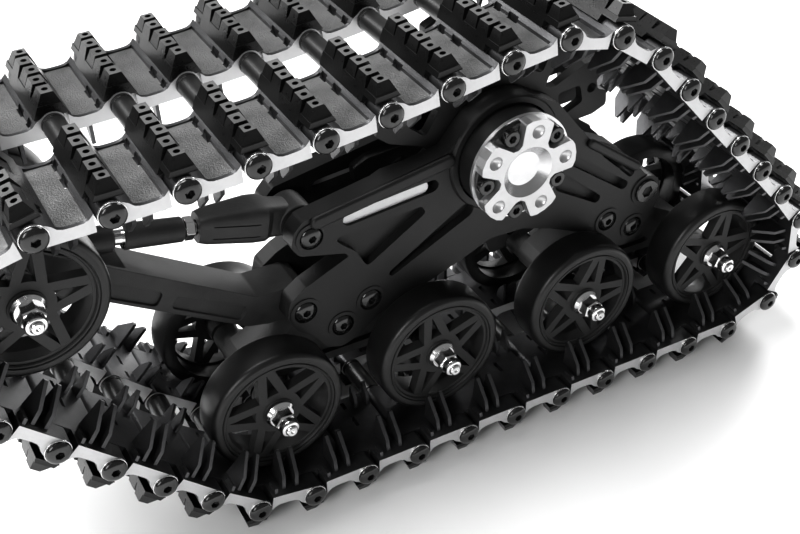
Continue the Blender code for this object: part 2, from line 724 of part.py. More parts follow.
def main():
    clear_scene()
    link_mat = make_material("link_aluminium", (0.055, 0.056, 0.06), 0.7, 0.42)
    tyre_mat = make_material("wheel_moulding", (0.03, 0.03, 0.031), 0.0, 0.45)
    frame_mat = make_material("frame_nylon", (0.028, 0.027, 0.028), 0.0, 0.55)
    sprocket_mat = make_material("sprocket_nylon", (0.03, 0.03, 0.032), 0.0, 0.5)
    cap_mat = make_material("hub_cap_aluminium", (0.86, 0.86, 0.87), 1.0, 0.28)
    steel_mat = make_material("fastener_steel", (0.62, 0.62, 0.63), 1.0, 0.2)
    rocker_mat = make_material("rocker_nylon", (0.027, 0.027, 0.028), 0.0, 0.55)
    rod_mat = make_material("rod_nylon", (0.035, 0.035, 0.036), 0.0, 0.6)

    idler_x, pins = closed_chain()
    pattern = base_link()
    low, high = chain_extent(pattern.data, pins)
    shift = -(low + high) / 2
    make_links(pattern, pins, shift, link_mat)
    idler = (idler_x + shift, IDLER_Z)

    for row, side in (("near", -1), ("far", 1)):
        for i in range(4):
            centre = ((i - 1.5) * WHEEL_SPACING + shift, WHEEL_Z)
            make_wheel(f"road_wheel_{row}_{i + 1}", centre, side, STAR_TURNS[i], tyre_mat)
        make_wheel(f"idler_wheel_{row}", idler, side, IDLER_STAR_TURN, tyre_mat)

    make_sprocket(shift, sprocket_mat)
    make_star(shift, cap_mat)
    make_plate("frame_near", -1, BARREL_NEAR_R + 0.5, shift, frame_mat)
    make_plate("frame_far", 1, BARREL_FAR_R + 0.5, shift, frame_mat)
    make_rocker("rocker_front", -ROCKER_PIVOT_X, shift, rocker_mat)
    make_rocker("rocker_rear", ROCKER_PIVOT_X, shift, rocker_mat)
    make_arm(idler, shift, frame_mat)
    make_idler_axle(idler, steel_mat)
    make_tensioner(idler, shift, rod_mat, steel_mat)
    make_standoff(shift, steel_mat)


main()
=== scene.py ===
"""Looks of the tracked tank chassis unit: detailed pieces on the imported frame, materials, light and camera.

Lengths are millimetres until a mesh is made; the frame is in metres. X runs along the ground run, Y from
the hub-cap side to the drive side and Z up. "near" is the -Y half.
"""

import json
import math

import bmesh
import bpy
from mathutils import Matrix, Vector


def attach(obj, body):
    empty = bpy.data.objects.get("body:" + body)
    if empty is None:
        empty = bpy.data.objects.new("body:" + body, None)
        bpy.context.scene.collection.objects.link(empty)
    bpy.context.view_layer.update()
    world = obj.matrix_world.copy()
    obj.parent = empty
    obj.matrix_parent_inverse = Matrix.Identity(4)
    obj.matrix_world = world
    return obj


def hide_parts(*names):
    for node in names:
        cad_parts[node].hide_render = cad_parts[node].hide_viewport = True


MM = 0.001

# Track link, about its front hinge pin: u along the belt, w towards the inside of the loop
PITCH = 16.0
LINKS = 38
LOBE_R = 3.2
INNER_FACE = 3.0
HALF_INNER = 7.0
HALF_OUTER = 33.6
KNUCKLE_SPLIT = 28.05
SPLIT_GAP = 0.15
PLATE_START = 3.65
TROUGH_RISE = 1.6
CHANNEL_FLOOR = 0.5
BARREL_R = 2.85
PAD_START = 7.2
PAD_SHELF = 3.55
PAD_BLOCK = 5.2
PAD_BLOCKS = 5
PAD_TOP = 7.6
SCREW_R = 3.05
SCREW_HEIGHT = 2.0

# Wheels
WHEEL_R = 18.6
WHEEL_FACES = (13.2, 23.3)
RIM_R = 15.2
STAR_PHASES = {"1": 101.5, "2": 102.0, "3": 73.0, "4": 77.0, "idler": 76.7}
AXLE_END = 31.2

# Drive
BARREL_NEAR_R = 14.4
CAP_R = 15.1
CAP_BACK = 18.4
CAP_FRONT = 22.8
CAP_PHASE = 79.5
SPROCKET_R = 37.6
SPROCKET_PHASE = 15.0

# Frame, from the hub in x and from the ground in z
PLATE_FACES = (6.2, 11.6)
COLLAR_R = 17.0
UPPER_PIVOT = (-57.1, 73.7)
ARM_PIVOT = (-59.5, 50.8)
ROCKER_PIVOTS = ((-48.8, 42.4), (48.8, 42.4))
FRAME_SCREWS = ((-40.3, 47.9), (38.7, 47.6))
STANDOFF = (51.7, 54.5)
FRAME_RIBS = (((-55.6, 78.2), (-17.6, 84.9), 1.9), ((29.0, 77.0), (46.4, 64.6), 1.5))


# Meshes


def to_object(name, bm):
    """A Blender object from a bmesh in millimetres."""
    bmesh.ops.recalc_face_normals(bm, faces=bm.faces)
    bmesh.ops.scale(bm, vec=(MM, MM, MM), verts=bm.verts)
    mesh = bpy.data.meshes.new(name)
    bm.to_mesh(mesh)
    bm.free()
    obj = bpy.data.objects.new(name, mesh)
    bpy.context.scene.collection.objects.link(obj)
    return obj


def loft(name, rings):
    """Skins rings of equal point count and caps both ends."""
    bm = bmesh.new()
    rows = [[bm.verts.new(p) for p in ring] for ring in rings]
    count = len(rings[0])
    for a, b in zip(rows, rows[1:]):
        for i in range(count):
            j = (i + 1) % count
            bm.faces.new((a[i], a[j], b[j], b[i]))
    bm.faces.new(rows[0])
    bm.faces.new(rows[-1][::-1])
    return to_object(name, bm)


def prism(name, outline, y0, y1):
    return loft(name, [[(x, y, z) for x, z in outline] for y in (y0, y1)])


def circle(centre, r, count, start=0.0):
    points = []
    for i in range(count):
        a = math.radians(start) + 2 * math.pi * i / count
        points.append((centre[0] + r * math.cos(a), centre[1] + r * math.sin(a)))
    return points


def lathe(name, centre, profile, count=48, start=0.0):
    """A turned shape about a line along Y; the profile is (y, radius) from one end to the other."""
    return loft(name, [[(x, y, z) for x, z in circle(centre, r, count, start)] for y, r in profile])


def rounded(points, radius, steps=4):
    """The outline with each corner turned into an arc."""
    result = []
    count = len(points)
    for i, point in enumerate(points):
        here = Vector(point)
        back = Vector(points[i - 1]) - here
        ahead = Vector(points[(i + 1) % count]) - here
        turn = back.angle(ahead)
        reach = min(radius / math.tan(turn / 2), 0.45 * back.length, 0.45 * ahead.length)
        first = here + back.normalized() * reach
        last = here + ahead.normalized() * reach
        for s in range(steps + 1):
            t = s / steps
            result.append(tuple((1 - t) ** 2 * first + 2 * t * (1 - t) * here + t * t * last))
    return result


def slot_outline(p, q, rp, rq, steps=6):
    """A slot round two ends, with its own radius at each."""
    along = math.atan2(q[1] - p[1], q[0] - p[0])
    points = []
    for (x, z), r, turn in ((q, rq, -math.pi / 2), (p, rp, math.pi / 2)):
        for i in range(steps + 1):
            a = along + turn + math.pi * i / steps
            points.append((x + r * math.cos(a), z + r * math.sin(a)))
    return points


def bar(p, q, half_p, half_q):
    """A tapered bar outline from p to q."""
    a = Vector(p)
    b = Vector(q)
    across = (b - a).normalized().orthogonal()
    return [
        tuple(a + across * half_p),
        tuple(a - across * half_p),
        tuple(b - across * half_q),
        tuple(b + across * half_q),
    ]


def evaluated(obj):
    """Leaves the object with its modifiers applied."""
    graph = bpy.context.evaluated_depsgraph_get()
    graph.update()
    mesh = bpy.data.meshes.new_from_object(obj.evaluated_get(graph), preserve_all_data_layers=True, depsgraph=graph)
    obj.modifiers.clear()
    obj.data = mesh
    mesh.name = obj.name
    return obj


def combine(base, others, operation):
    for other in others:
        step = base.modifiers.new("step", "BOOLEAN")
        step.operation = operation
        step.solver = "EXACT"
        step.object = other
    evaluated(base)
    for other in others:
        bpy.data.objects.remove(other, do_unlink=True)
    bm = bmesh.new()
    bm.from_mesh(base.data)
    bmesh.ops.remove_doubles(bm, verts=bm.verts, dist=1e-6)
    bmesh.ops.dissolve_limit(bm, angle_limit=math.radians(0.5), verts=bm.verts, edges=bm.edges)
    bm.to_mesh(base.data)
    bm.free()
    return base


def join(base, others):
    return combine(base, others, "UNION")


def cut(base, others):
    return combine(base, others, "DIFFERENCE")


def polish(obj, width=0.25, segments=2, angle=32):
    """Softens the edges and keeps flat faces flat in the shading."""
    bevel = obj.modifiers.new("edge", "BEVEL")
    bevel.width = width * MM
    bevel.segments = segments
    bevel.limit_method = "ANGLE"
    bevel.angle_limit = math.radians(angle)
    bevel.use_clamp_overlap = True
    bevel.miter_outer = "MITER_ARC"
    evaluated(obj)
    obj.data.shade_smooth()
    obj.data.set_sharp_from_angle(angle=math.radians(48))
    obj.modifiers.new("flat", "WEIGHTED_NORMAL").keep_sharp = True
    return evaluated(obj)


def dress(obj, *materials):
    """Gives the mesh its material slots."""
    obj.data.materials.clear()
    for material in materials:
        obj.data.materials.append(material)
    return obj


def mark_faces(obj, index, test):
    """Faces whose (normal, centre in mm) pass the test take another material slot."""
    for face in obj.data.polygons:
        if test(face.normal, face.center / MM):
            face.material_index = index
    return obj


def adopt(obj, name, body, nodes=(), where=None):
    """Names a piece, puts it in place, ties it to its CAD body and hides the CAD nodes it stands for."""
    obj.name = name
    if where is not None:
        obj.matrix_world = where
    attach(obj, body)
    if nodes:
        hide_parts(*nodes)
    return obj


def copies(pattern, name, body, where, nodes=()):
    """A piece that shares the pattern's mesh."""
    obj = bpy.data.objects.new(name, pattern.data)
    bpy.context.scene.collection.objects.link(obj)
    return adopt(obj, name, body, nodes, where)


def drop(*objs):
    for obj in objs:
        bpy.data.objects.remove(obj, do_unlink=True)


# Materials


class Shader:
    """Short names for building one node material."""

    def __init__(self, name):
        self.material = bpy.data.materials.new(name)
        self.material.use_nodes = True
        self.tree = self.material.node_tree
        self.principled = self.tree.nodes["Principled BSDF"]
        self.coords = self.tree.nodes.new("ShaderNodeTexCoord")

    def set(self, **values):
        for key, value in values.items():
            self.principled.inputs[key.replace("_", " ")].default_value = value
        return self

    def noise(self, scale, detail=4.0, rough=0.5, stretch=None):
        node = self.tree.nodes.new("ShaderNodeTexNoise")
        node.inputs["Scale"].default_value = scale
        node.inputs["Detail"].default_value = detail
        node.inputs["Roughness"].default_value = rough
        source = self.coords.outputs["Object"]
        if stretch is not None:
            mapping = self.tree.nodes.new("ShaderNodeMapping")
            mapping.inputs["Scale"].default_value = stretch
            self.tree.links.new(source, mapping.inputs["Vector"])
            source = mapping.outputs["Vector"]
        self.tree.links.new(source, node.inputs["Vector"])
        return node.outputs["Fac"]

    def ramp(self, value, stops):
        node = self.tree.nodes.new("ShaderNodeValToRGB")
        elements = node.color_ramp.elements
        while len(elements) < len(stops):
            elements.new(0.5)
        for element, (position, colour) in zip(elements, stops):
            element.position = position
            element.color = (*colour, 1.0) if len(colour) == 3 else colour
        self.tree.links.new(value, node.inputs["Fac"])
        return node.outputs["Color"]

    def span(self, value, low, high):
        node = self.tree.nodes.new("ShaderNodeMapRange")
        node.inputs["From Min"].default_value = 0.3
        node.inputs["From Max"].default_value = 0.7
        node.inputs["To Min"].default_value = low
        node.inputs["To Max"].default_value = high
        self.tree.links.new(value, node.inputs["Value"])
        return node.outputs["Result"]

    def link(self, value, key):
        self.tree.links.new(value, self.principled.inputs[key])
        return self

    def bump(self, height, strength, distance):
        node = self.tree.nodes.new("ShaderNodeBump")
        node.inputs["Strength"].default_value = strength
        node.inputs["Distance"].default_value = distance
        self.tree.links.new(height, node.inputs["Height"])
        self.tree.links.new(node.outputs["Normal"], self.principled.inputs["Normal"])
        return self

    def add(self, a, b, share):
        node = self.tree.nodes.new("ShaderNodeMath")
        node.operation = "MULTIPLY_ADD"
        self.tree.links.new(b, node.inputs[0])
        node.inputs[1].default_value = share
        self.tree.links.new(a, node.inputs[2])
        return node.outputs["Value"]


def grey(level, tint=0.0):
    return (level, level, level * (1 + tint))


def grained(name, dark, light, metallic, rough, grain_scale, grain_depth, specular=0.5):
    """A surface with broad tone changes, fine grain, and roughness that follows both."""
    shader = Shader(name)
    shader.set(Metallic=metallic)
    shader.principled.inputs["Specular IOR Level"].default_value = specular
    broad = shader.noise(60.0, 5.0, 0.6)
    fine = shader.noise(grain_scale, 3.0, 0.6)
    shader.link(shader.ramp(broad, ((0.35, dark), (0.7, light))), "Base Color")
    shader.link(shader.span(shader.add(broad, fine, 0.6), rough[0], rough[1]), "Roughness")
    shader.bump(fine, 0.5, grain_depth)
    return shader.material


def brushed(name, colour, metallic, rough, stretch, depth=0.00004):
    """Machined metal with fine lines along one direction and faint stains."""
    shader = Shader(name)
    shader.set(Metallic=metallic)
    lines = shader.noise(900.0, 2.0, 0.5, stretch)
    stains = shader.noise(140.0, 5.0, 0.65)
    low = tuple(c * 0.86 for c in colour)
    shader.link(shader.ramp(stains, ((0.3, low), (0.62, colour))), "Base Color")
    shader.link(shader.span(shader.add(lines, stains, 0.5), rough[0], rough[1]), "Roughness")
    shader.bump(lines, 0.35, depth)
    return shader.material


def make_materials():
    """Every material by its short name: grained plastics and anodised faces, brushed and plated metals."""
    soft = 0.22
    return {
        "plate": grained("link_plate", grey(0.035, 0.04), grey(0.085, 0.03), 0.9, (0.24, 0.4), 3200.0, 0.0001),
        "cut": brushed("link_cut_end", grey(0.52, 0.01), 0.6, (0.26, 0.4), (1.0, 1.0, 6.0)),
        "channel": grained("link_channel", grey(0.06), grey(0.16), 0.9, (0.3, 0.5), 2600.0, 0.0004),
        "pad": grained("grouser_pad", grey(0.002), grey(0.005), 0.0, (0.16, 0.3), 1500.0, 0.00006, 0.2),
        "pad_top": grained("grouser_tread", grey(0.04), grey(0.1), 0.0, (0.34, 0.52), 2200.0, 0.0001, 0.4),
        "barrel": grained("hinge_barrel", grey(0.008), grey(0.02), 0.4, (0.18, 0.3), 1800.0, 0.00003, 0.4),
        "screw": grained("black_screw", grey(0.003), grey(0.008), 0.0, (0.08, 0.16), 1400.0, 0.00002, 0.45),
        "washer": brushed("washer", grey(0.75), 1.0, (0.12, 0.26), (1.0, 4.0, 1.0)),
        "tyre": grained("wheel_tyre", grey(0.003), grey(0.007), 0.0, (0.22, 0.36), 1300.0, 0.00003, 0.3),
        "ring": grained("wheel_side", grey(0.010), grey(0.018), 0.0, (0.36, 0.5), 2000.0, 0.00003, soft),
        "frame": grained("frame_moulding", grey(0.004), grey(0.009), 0.0, (0.3, 0.46), 2400.0, 0.00005, soft),
        # Painted light: the arm and rocker moulding has a lighter base than the frame moulding, standing in for the
        # light on the arm's top.
        "arm": grained("arm_moulding_painted_light", grey(0.012), grey(0.032), 0.0, (0.34, 0.52), 2200.0, 0.0001, soft),
        "sprocket": grained("sprocket_moulding", grey(0.004), grey(0.009), 0.0, (0.34, 0.48), 2000.0, 0.00004, soft),
        "hub": grained("hub_barrel", grey(0.004), grey(0.01), 0.1, (0.16, 0.28), 1600.0, 0.00003, 0.4),
        "cap": brushed("cap_aluminium", grey(0.52, 0.01), 0.9, (0.24, 0.38), (1.0, 1.0, 5.0)),
        "dish": brushed("cap_dish", grey(0.6, 0.01), 1.0, (0.14, 0.24), (4.0, 1.0, 4.0)),
        "chrome": brushed("plated_steel", grey(0.8), 1.0, (0.07, 0.16), (1.0, 6.0, 1.0), 0.00001),
        "rod": grained("rod_moulding", grey(0.006), grey(0.018), 0.0, (0.36, 0.54), 1500.0, 0.00012, 0.3),
    }


# Track links


def arc(centre, r, first, last, steps):
    points = []
    for s in range(steps + 1):
        a = math.radians(first + (last - first) * s / steps)
        points.append((centre[0] + r * math.cos(a), centre[1] + r * math.sin(a)))
    return points


def trough(u):
    """Outer face of a link plate between its two lobes."""
    half = PITCH / 2 - PLATE_START
    return 0.15 - TROUGH_RISE * abs((u - PITCH / 2) / half) ** 4


def plate_section(front, rear):
    """Section of a link plate with or without its front and rear lobes, as (u, w)."""
    end = PITCH - PLATE_START
    flat = math.degrees(math.asin(INNER_FACE / LOBE_R))
    points = []
    if front:
        points += arc((0, 0), LOBE_R, 180 - flat, 316, 12)
    else:
        points += [(PLATE_START, INNER_FACE)]
    for s in range(9):
        u = PLATE_START + (end - PLATE_START) * s / 8
        points.append((u, trough(u)))
    if rear:
        points += arc((PITCH, 0), LOBE_R, 224, 360 + flat, 12)
    else:
        points += [(end, INNER_FACE)]
    return points


def make_link_plates(mats):
    """Both halves of one link: lobed plates with a recessed channel, slots, guide fins and small ribs."""
    halves = []
    for side in (-1, 1):
        inner = side * HALF_INNER
        split_in = side * (KNUCKLE_SPLIT - SPLIT_GAP)
        split_out = side * (KNUCKLE_SPLIT + SPLIT_GAP)
        half = prism("half", plate_section(True, False), inner, split_in)
        parts = [
            prism("outer", plate_section(False, True), split_out, side * HALF_OUTER),
            prism("core", plate_section(False, False), side * (KNUCKLE_SPLIT - 1), side * (KNUCKLE_SPLIT + 1)),
        ]
        for station in (7.7, 11.4):
            fin = [(31.5, 2.6), (30.5, 6.4), (25.6, 11.2), (24.7, 11.0), (24.2, 2.6)]
            rings = [[(u, side * y, w) for y, w in fin] for u in (station - 0.5, station + 0.5)]
            parts.append(loft("fin", rings))
            lug = [(12.4, 2.6), (11.8, 6.0), (9.4, 9.2), (8.8, 9.0), (8.4, 2.6)]
            rings = [[(u, side * y, w) for y, w in lug] for u in (station - 0.45, station + 0.45)]
            parts.append(loft("lug", rings))
        rib = [(32.6, 2.6), (32.0, 4.2), (28.8, 4.2), (28.2, 2.6)]
        parts.append(loft("rib", [[(u, side * y, w) for y, w in rib] for u in (4.6, 5.5)]))
        half = join(half, parts)
        channel_in = [(4.9, CHANNEL_FLOOR), (11.1, CHANNEL_FLOOR), (11.7, -2.2), (4.3, -2.2)]
        cutters = [prism("channel", channel_in, side * 8.1, side * 32.5)]
        for low, high, u in ((8.6, 11.4, 4.75), (14.8, 18.8, 4.85)):
            slit = [(u - 0.55, -4), (u + 0.55, -4), (u + 0.55, 4), (u - 0.55, 4)]
            cutters.append(prism("slit", slit, side * low, side * high))
        halves.append(cut(half, cutters))
    plates = join(halves[0], halves[1:])
    polish(plates, 0.16)
    dress(plates, mats["plate"], mats["cut"], mats["channel"])
    mark_faces(plates, 1, end_face)
    mark_faces(plates, 2, lambda n, c: n.z < -0.9 and abs(c.z - CHANNEL_FLOOR) < 0.1)
    return plates


def end_face(normal, centre):
    """The cut ends of the extrusion, at the belt's edges and at the middle window."""
    on_end = abs(abs(centre.y) - HALF_OUTER) < 0.2 or abs(abs(centre.y) - HALF_INNER) < 0.2
    return abs(normal.y) > 0.55 and on_end


def make_barrel(mats):
    """The turned sleeve round the hinge pin, in the open middle."""
    end = HALF_INNER + 0.6
    profile = ((-end, BARREL_R), (-6.2, BARREL_R), (-6.2, 2.6), (-5.8, 2.6), (-5.8, BARREL_R))
    profile += tuple((-y, r) for y, r in reversed(profile))
    barrel = polish(lathe("barrel", (0, 0), profile, 32), 0.12)
    return dress(barrel, mats["barrel"])


def make_pad(mats, side):
    """A grouser: a flared root and a row of tall blocks, each with a hole in its top; it ends in a slope."""
    ends = (PAD_START, KNUCKLE_SPLIT - 0.2, PAD_START + PAD_BLOCK * PAD_BLOCKS)
    root = [(-4.1, -1.9), (-2.7, -4.9), (2.7, -4.9), (4.1, -1.9)]
    shelf = [(-3.3, -PAD_SHELF), (-2.7, -4.9), (2.7, -4.9), (3.3, -PAD_SHELF)]
    pad = loft("pad", [[(u, side * y, w) for u, w in root] for y in ends[:2]])
    parts = [loft("shelf", [[(u, side * y, w) for u, w in shelf] for y in (ends[1] - 0.4, ends[2] - 0.2)])]
    holes = []
    for i in range(PAD_BLOCKS):
        last = i == PAD_BLOCKS - 1
        middle = PAD_START + PAD_BLOCK * (i + 0.5)
        lean = 0.2 if i % 2 else -0.2
        rings = []
        for w, half_u, half_y, share in ((-3.6, 3.3, 2.56, 0.0), (-5.0, 2.6, 2.3, 0.5), (-PAD_TOP, 1.4, 1.9, 1.0)):
            outer = half_y - (0.9 * share if last else 0)
            corners = [(-half_u, -half_y), (half_u, -half_y), (half_u, outer), (-half_u, outer)]
            rings.append([(u + lean * share, side * (middle + y), w) for u, y in corners])
        parts.append(loft("block", rings))
        top = circle((lean, side * (middle - (0.4 if last else 0))), 0.78, 12)
        holes.append(loft("hole", [[(u, y, w) for u, y in top] for w in (-PAD_TOP + 1.5, -PAD_TOP - 1)]))
    pad = cut(join(pad, parts), holes)
    polish(pad, 0.24)
    dress(pad, mats["pad"], mats["pad_top"])
    return mark_faces(pad, 1, lambda n, c: n.z < -0.85 and c.z < -PAD_TOP + 0.3)


def make_button_screw(mats):
    """A button-head screw facing -Y at its seat, with a hex socket."""
    dome = [(0.3, 1.4), (0.1, SCREW_R), (-0.5, SCREW_R)]
    for s in range(7):
        a = math.radians(10 + 62 * s / 6)
        dome.append((-0.6 - (SCREW_HEIGHT - 0.8) * math.sin(a) / math.sin(math.radians(72)), SCREW_R * math.cos(a) ** 0.75))
    head = lathe("screw", (0, 0), dome, 32)
    socket = lathe("socket", (0, 0), ((-0.7, 1.15), (-4.0, 1.15)), 6)
    return dress(polish(cut(head, [socket]), 0.07), mats["screw"])


def make_washer(mats):
    """A plain washer whose bright rim shows behind the screw head."""
    profile = ((0.05, 2.0), (0.05, 3.18), (-0.42, 3.18), (-0.42, 2.0))
    return dress(polish(lathe("washer", (0, 0), profile, 40), 0.08), mats["washer"])


def link_places():
    """Each link's place, from the middles of the screw heads that the CAD links end in."""
    rears = []
    for i in range(LINKS):
        mesh = frame["nodes"][f"link_{i + 1:02d}"].data
        reach = max(v.co.y for v in mesh.vertices)
        head = [v.co for v in mesh.vertices if v.co.y > reach - 0.1 * MM]
        xs = [v.x for v in head]
        zs = [v.z for v in head]
        rears.append(Vector(((min(xs) + max(xs)) / 2, 0.0, (min(zs) + max(zs)) / 2)))
    places = []
    for i in range(LINKS):
        front = rears[i - 1]
        ahead = rears[i] - front
        turn = -math.atan2(ahead.z, ahead.x)
        places.append(Matrix.Translation(front) @ Matrix.Rotation(turn, 4, "Y"))
    return places


def build_track(mats):
    plates = make_link_plates(mats)
    barrel = make_barrel(mats)
    pads = {"near": make_pad(mats, -1), "far": make_pad(mats, 1)}
    screw = make_button_screw(mats)
    washer = make_washer(mats)
    for i, place in enumerate(link_places()):
        number = f"{i + 1:02d}"
        copies(plates, f"link_plates_{number}", "chassis", place, (f"link_{number}",))
        copies(barrel, f"link_barrel_{number}", "chassis", place)
        for row, side in (("near", -1), ("far", 1)):
            copies(pads[row], f"link_pad_{row}_{number}", "chassis", place)
            seat = Matrix.Translation(Vector((PITCH, side * HALF_OUTER, 0.0)) * MM)
            turn = Matrix.Rotation(math.radians(37 * i), 4, "Y")
            flip = Matrix.Rotation(math.pi, 4, "Z") if side > 0 else Matrix.Identity(4)
            copies(washer, f"link_washer_{row}_{number}", "chassis", place @ seat @ flip)
            copies(screw, f"link_screw_{row}_{number}", "chassis", place @ seat @ flip @ turn)
    drop(plates, barrel, screw, washer, *pads.values())


# Wheels


def make_tyre(mats):
    """The rolling band with its rounded shoulder, flat side ring and thin groove, facing -Y."""
    y_in, y_out = (-f for f in WHEEL_FACES)
    profile = [(y_in, RIM_R - 0.4), (y_in, 17.6), (y_in - 0.3, 18.3), (y_in - 1.0, WHEEL_R)]
    for s in range(7):
        a = math.radians(90 * s / 6)
        profile.append((y_out + 1.7 - 1.7 * math.sin(a), WHEEL_R - 1.7 + 1.7 * math.cos(a)))
    profile += [(y_out, 16.3), (y_out + 0.05, 16.1), (y_out + 0.55, 15.95), (y_out + 0.55, 15.75), (y_out + 0.1, 15.6)]
    profile += [(y_out + 0.1, 15.35), (y_out + 0.5, RIM_R - 0.15), (y_in - 4.0, RIM_R - 0.4)]
    bm = bmesh.new()
    rows = [[bm.verts.new((x, y, z)) for x, z in circle((0, 0), r, 96)] for y, r in profile]
    for a, b in zip(rows, rows[1:] + rows[:1]):
        for i in range(96):
            j = (i + 1) % 96
            bm.faces.new((a[i], a[j], b[j], b[i]))
    tyre = to_object("tyre", bm)
    tyre.data.shade_smooth()
    tyre.data.set_sharp_from_angle(angle=math.radians(40))
    dress(tyre, mats["tyre"], mats["ring"])
    return mark_faces(tyre, 1, lambda n, c: c.y < y_out + 0.9 and Vector((c.x, c.z)).length < WHEEL_R - 1.1)


def make_star(mats):
    """The five-pointed wheel centre: each arm is two bars that meet at the rim, round a flat hub."""
    face = -WHEEL_FACES[1] + 0.85
    back = face + 3.0
    arms = []
    for i in range(5):
        for lean in (-1, 1):
            a = math.radians(72 * i + lean * 3.6)
            b = math.radians(72 * i + lean * 34)
            tip = (15.3 * math.cos(a), 15.3 * math.sin(a))
            root = (5.6 * math.cos(b), 5.6 * math.sin(b))
            arms.append(prism("bar", bar(tip, root, 1.25, 1.1), face, back))
    star = join(lathe("star", (0, 0), ((back, 6.5), (face, 6.5)), 40), arms)
    boss = lathe("boss", (0, 0), ((face + 1, 4.6), (face - 0.5, 4.3)), 40)
    hub = lathe("hub", (0, 0), ((back - 1, 3.9), (back + 5.6, 3.9)), 40)
    star = join(star, [boss, hub])
    rim = lathe("rim", (0, 0), ((back + 0.5, 15.25), (face - 0.1, 15.25)), 96)
    inside = lathe("inside", (0, 0), ((back + 2, 14.15), (face + 0.2, 14.15), (face - 2, 15.4)), 96)
    star = join(star, [cut(rim, [inside])])
    star = cut(star, [lathe("bore", (0, 0), ((back + 9, 2.0), (face - 3, 2.0)), 24)])
    return dress(polish(star, 0.22), mats["ring"])


def make_nut(mats):
    """A flanged lock nut with its rounded collar and the bolt's end, facing -Y from its seat."""
    flange = lathe("nut", (0, 0), ((0.0, 1.7), (0.0, 4.0), (-0.45, 4.0), (-1.25, 3.3), (-1.25, 1.7)), 40)
    hexagon = lathe("hexagon", (0, 0), ((-0.9, 3.15), (-4.3, 3.15), (-4.7, 2.8)), 6)
    collar = lathe("collar", (0, 0), ((-4.3, 2.5), (-6.0, 2.55), (-6.7, 2.3), (-6.95, 1.75)), 40)
    nut = join(flange, [hexagon, collar])
    nut = cut(nut, [lathe("mouth", (0, 0), ((-6.2, 1.65), (-8.0, 1.8)), 32)])
    end = -(AXLE_END - WHEEL_FACES[1] - 0.1)
    bolt = lathe("bolt", (0, 0), ((-0.2, 1.5), (end + 0.35, 1.5), (end, 1.2)), 32)
    nut = join(nut, [bolt])
    dimple = lathe("dimple", (0, 0), ((end + 0.5, 0.25), (end - 0.3, 0.75)), 20)
    return dress(polish(cut(nut, [dimple]), 0.12), mats["chrome"])


def build_wheels(mats):
    tyre = make_tyre(mats)
    star = make_star(mats)
    nut = make_nut(mats)
    rows = (("near", Matrix.Identity(4)), ("far", Matrix.Rotation(math.pi, 4, "Z")))
    for row, flip in rows:
        for number, phase in STAR_PHASES.items():
            idler = number == "idler"
            node = f"idler_wheel_{row}" if idler else f"road_wheel_{row}_{number}"
            carrier = "idler_arm" if idler else ("rocker_front" if number in "12" else "rocker_rear")
            centre = Matrix.Translation(joint_place(f"{node}_spin"))
            turn = Matrix.Rotation(math.radians(-phase if row == "near" else phase - 180), 4, "Y")
            place = centre @ flip @ turn
            copies(tyre, f"{node}_tyre", node, place, (node,))
            copies(star, f"{node}_star", node, place)
            seat = Matrix.Translation(Vector((0, -(WHEEL_FACES[1] - 0.05), 0)) * MM)
            spin = Matrix.Rotation(math.radians(phase * 3), 4, "Y")
            copies(nut, f"{node}_nut", carrier, centre @ flip @ seat @ spin)
    drop(tyre, star, nut)


def joint_place(name):
    """A joint's place in the frame."""
    return Vector(next(j["pos_m"] for j in frame["joints"] if j["name"] == name))


# Drive


def make_cap(mats):
    """The bright star cap: thin flange, five broad arms with conical dimples, dished middle."""
    cap = lathe("cap", (0, 0), ((-CAP_BACK, CAP_R), (-CAP_BACK - 0.9, CAP_R)), 96)
    outline = []
    for i in range(5):
        middle = CAP_PHASE + 72 * i
        for offset, r in ((-36, 8.3), (-26.5, 9.0), (-17.5, 14.5), (-10, 15.0), (0, 15.1), (10, 15.0), (17.5, 14.5), (26.5, 9.0)):
            a = math.radians(middle + offset)
            outline.append((r * math.cos(a), r * math.sin(a)))
    cap = join(cap, [prism("arms", rounded(outline, 0.7, 3), -CAP_BACK - 0.4, -CAP_FRONT)])
    cutters = [lathe("dish", (0, 0), ((-CAP_FRONT - 1, 8.2), (-CAP_FRONT + 0.02, 7.4), (-CAP_FRONT + 2.1, 4.9)), 64)]
    for i in range(5):
        a = math.radians(CAP_PHASE + 72 * i)
        dimple = (11.7 * math.cos(a), 11.7 * math.sin(a))
        profile = ((-CAP_FRONT - 1, 2.1), (-CAP_FRONT + 0.01, 1.95), (-CAP_FRONT + 0.7, 1.6), (-CAP_FRONT + 1.5, 0.3))
        cutters.append(lathe("dimple", dimple, profile, 32))
    cap = polish(cut(cap, cutters), 0.14)
    dress(cap, mats["cap"], mats["dish"])
    return mark_faces(cap, 1, lambda n, c: c.y > -CAP_FRONT + 0.1 and Vector((c.x, c.z)).length < 7.6)


def make_socket_screw(mats, r, height):
    """A socket-head cap screw facing -Y from its seat."""
    head = lathe("cap_screw", (0, 0), ((0.0, r), (-height + 0.3, r), (-height, r - 0.3)), 32)
    socket = lathe("socket", (0, 0), ((-height + 1.2, r * 0.5), (-height - 1, r * 0.5)), 6)
    return dress(polish(cut(head, [socket]), 0.08), mats["screw"])


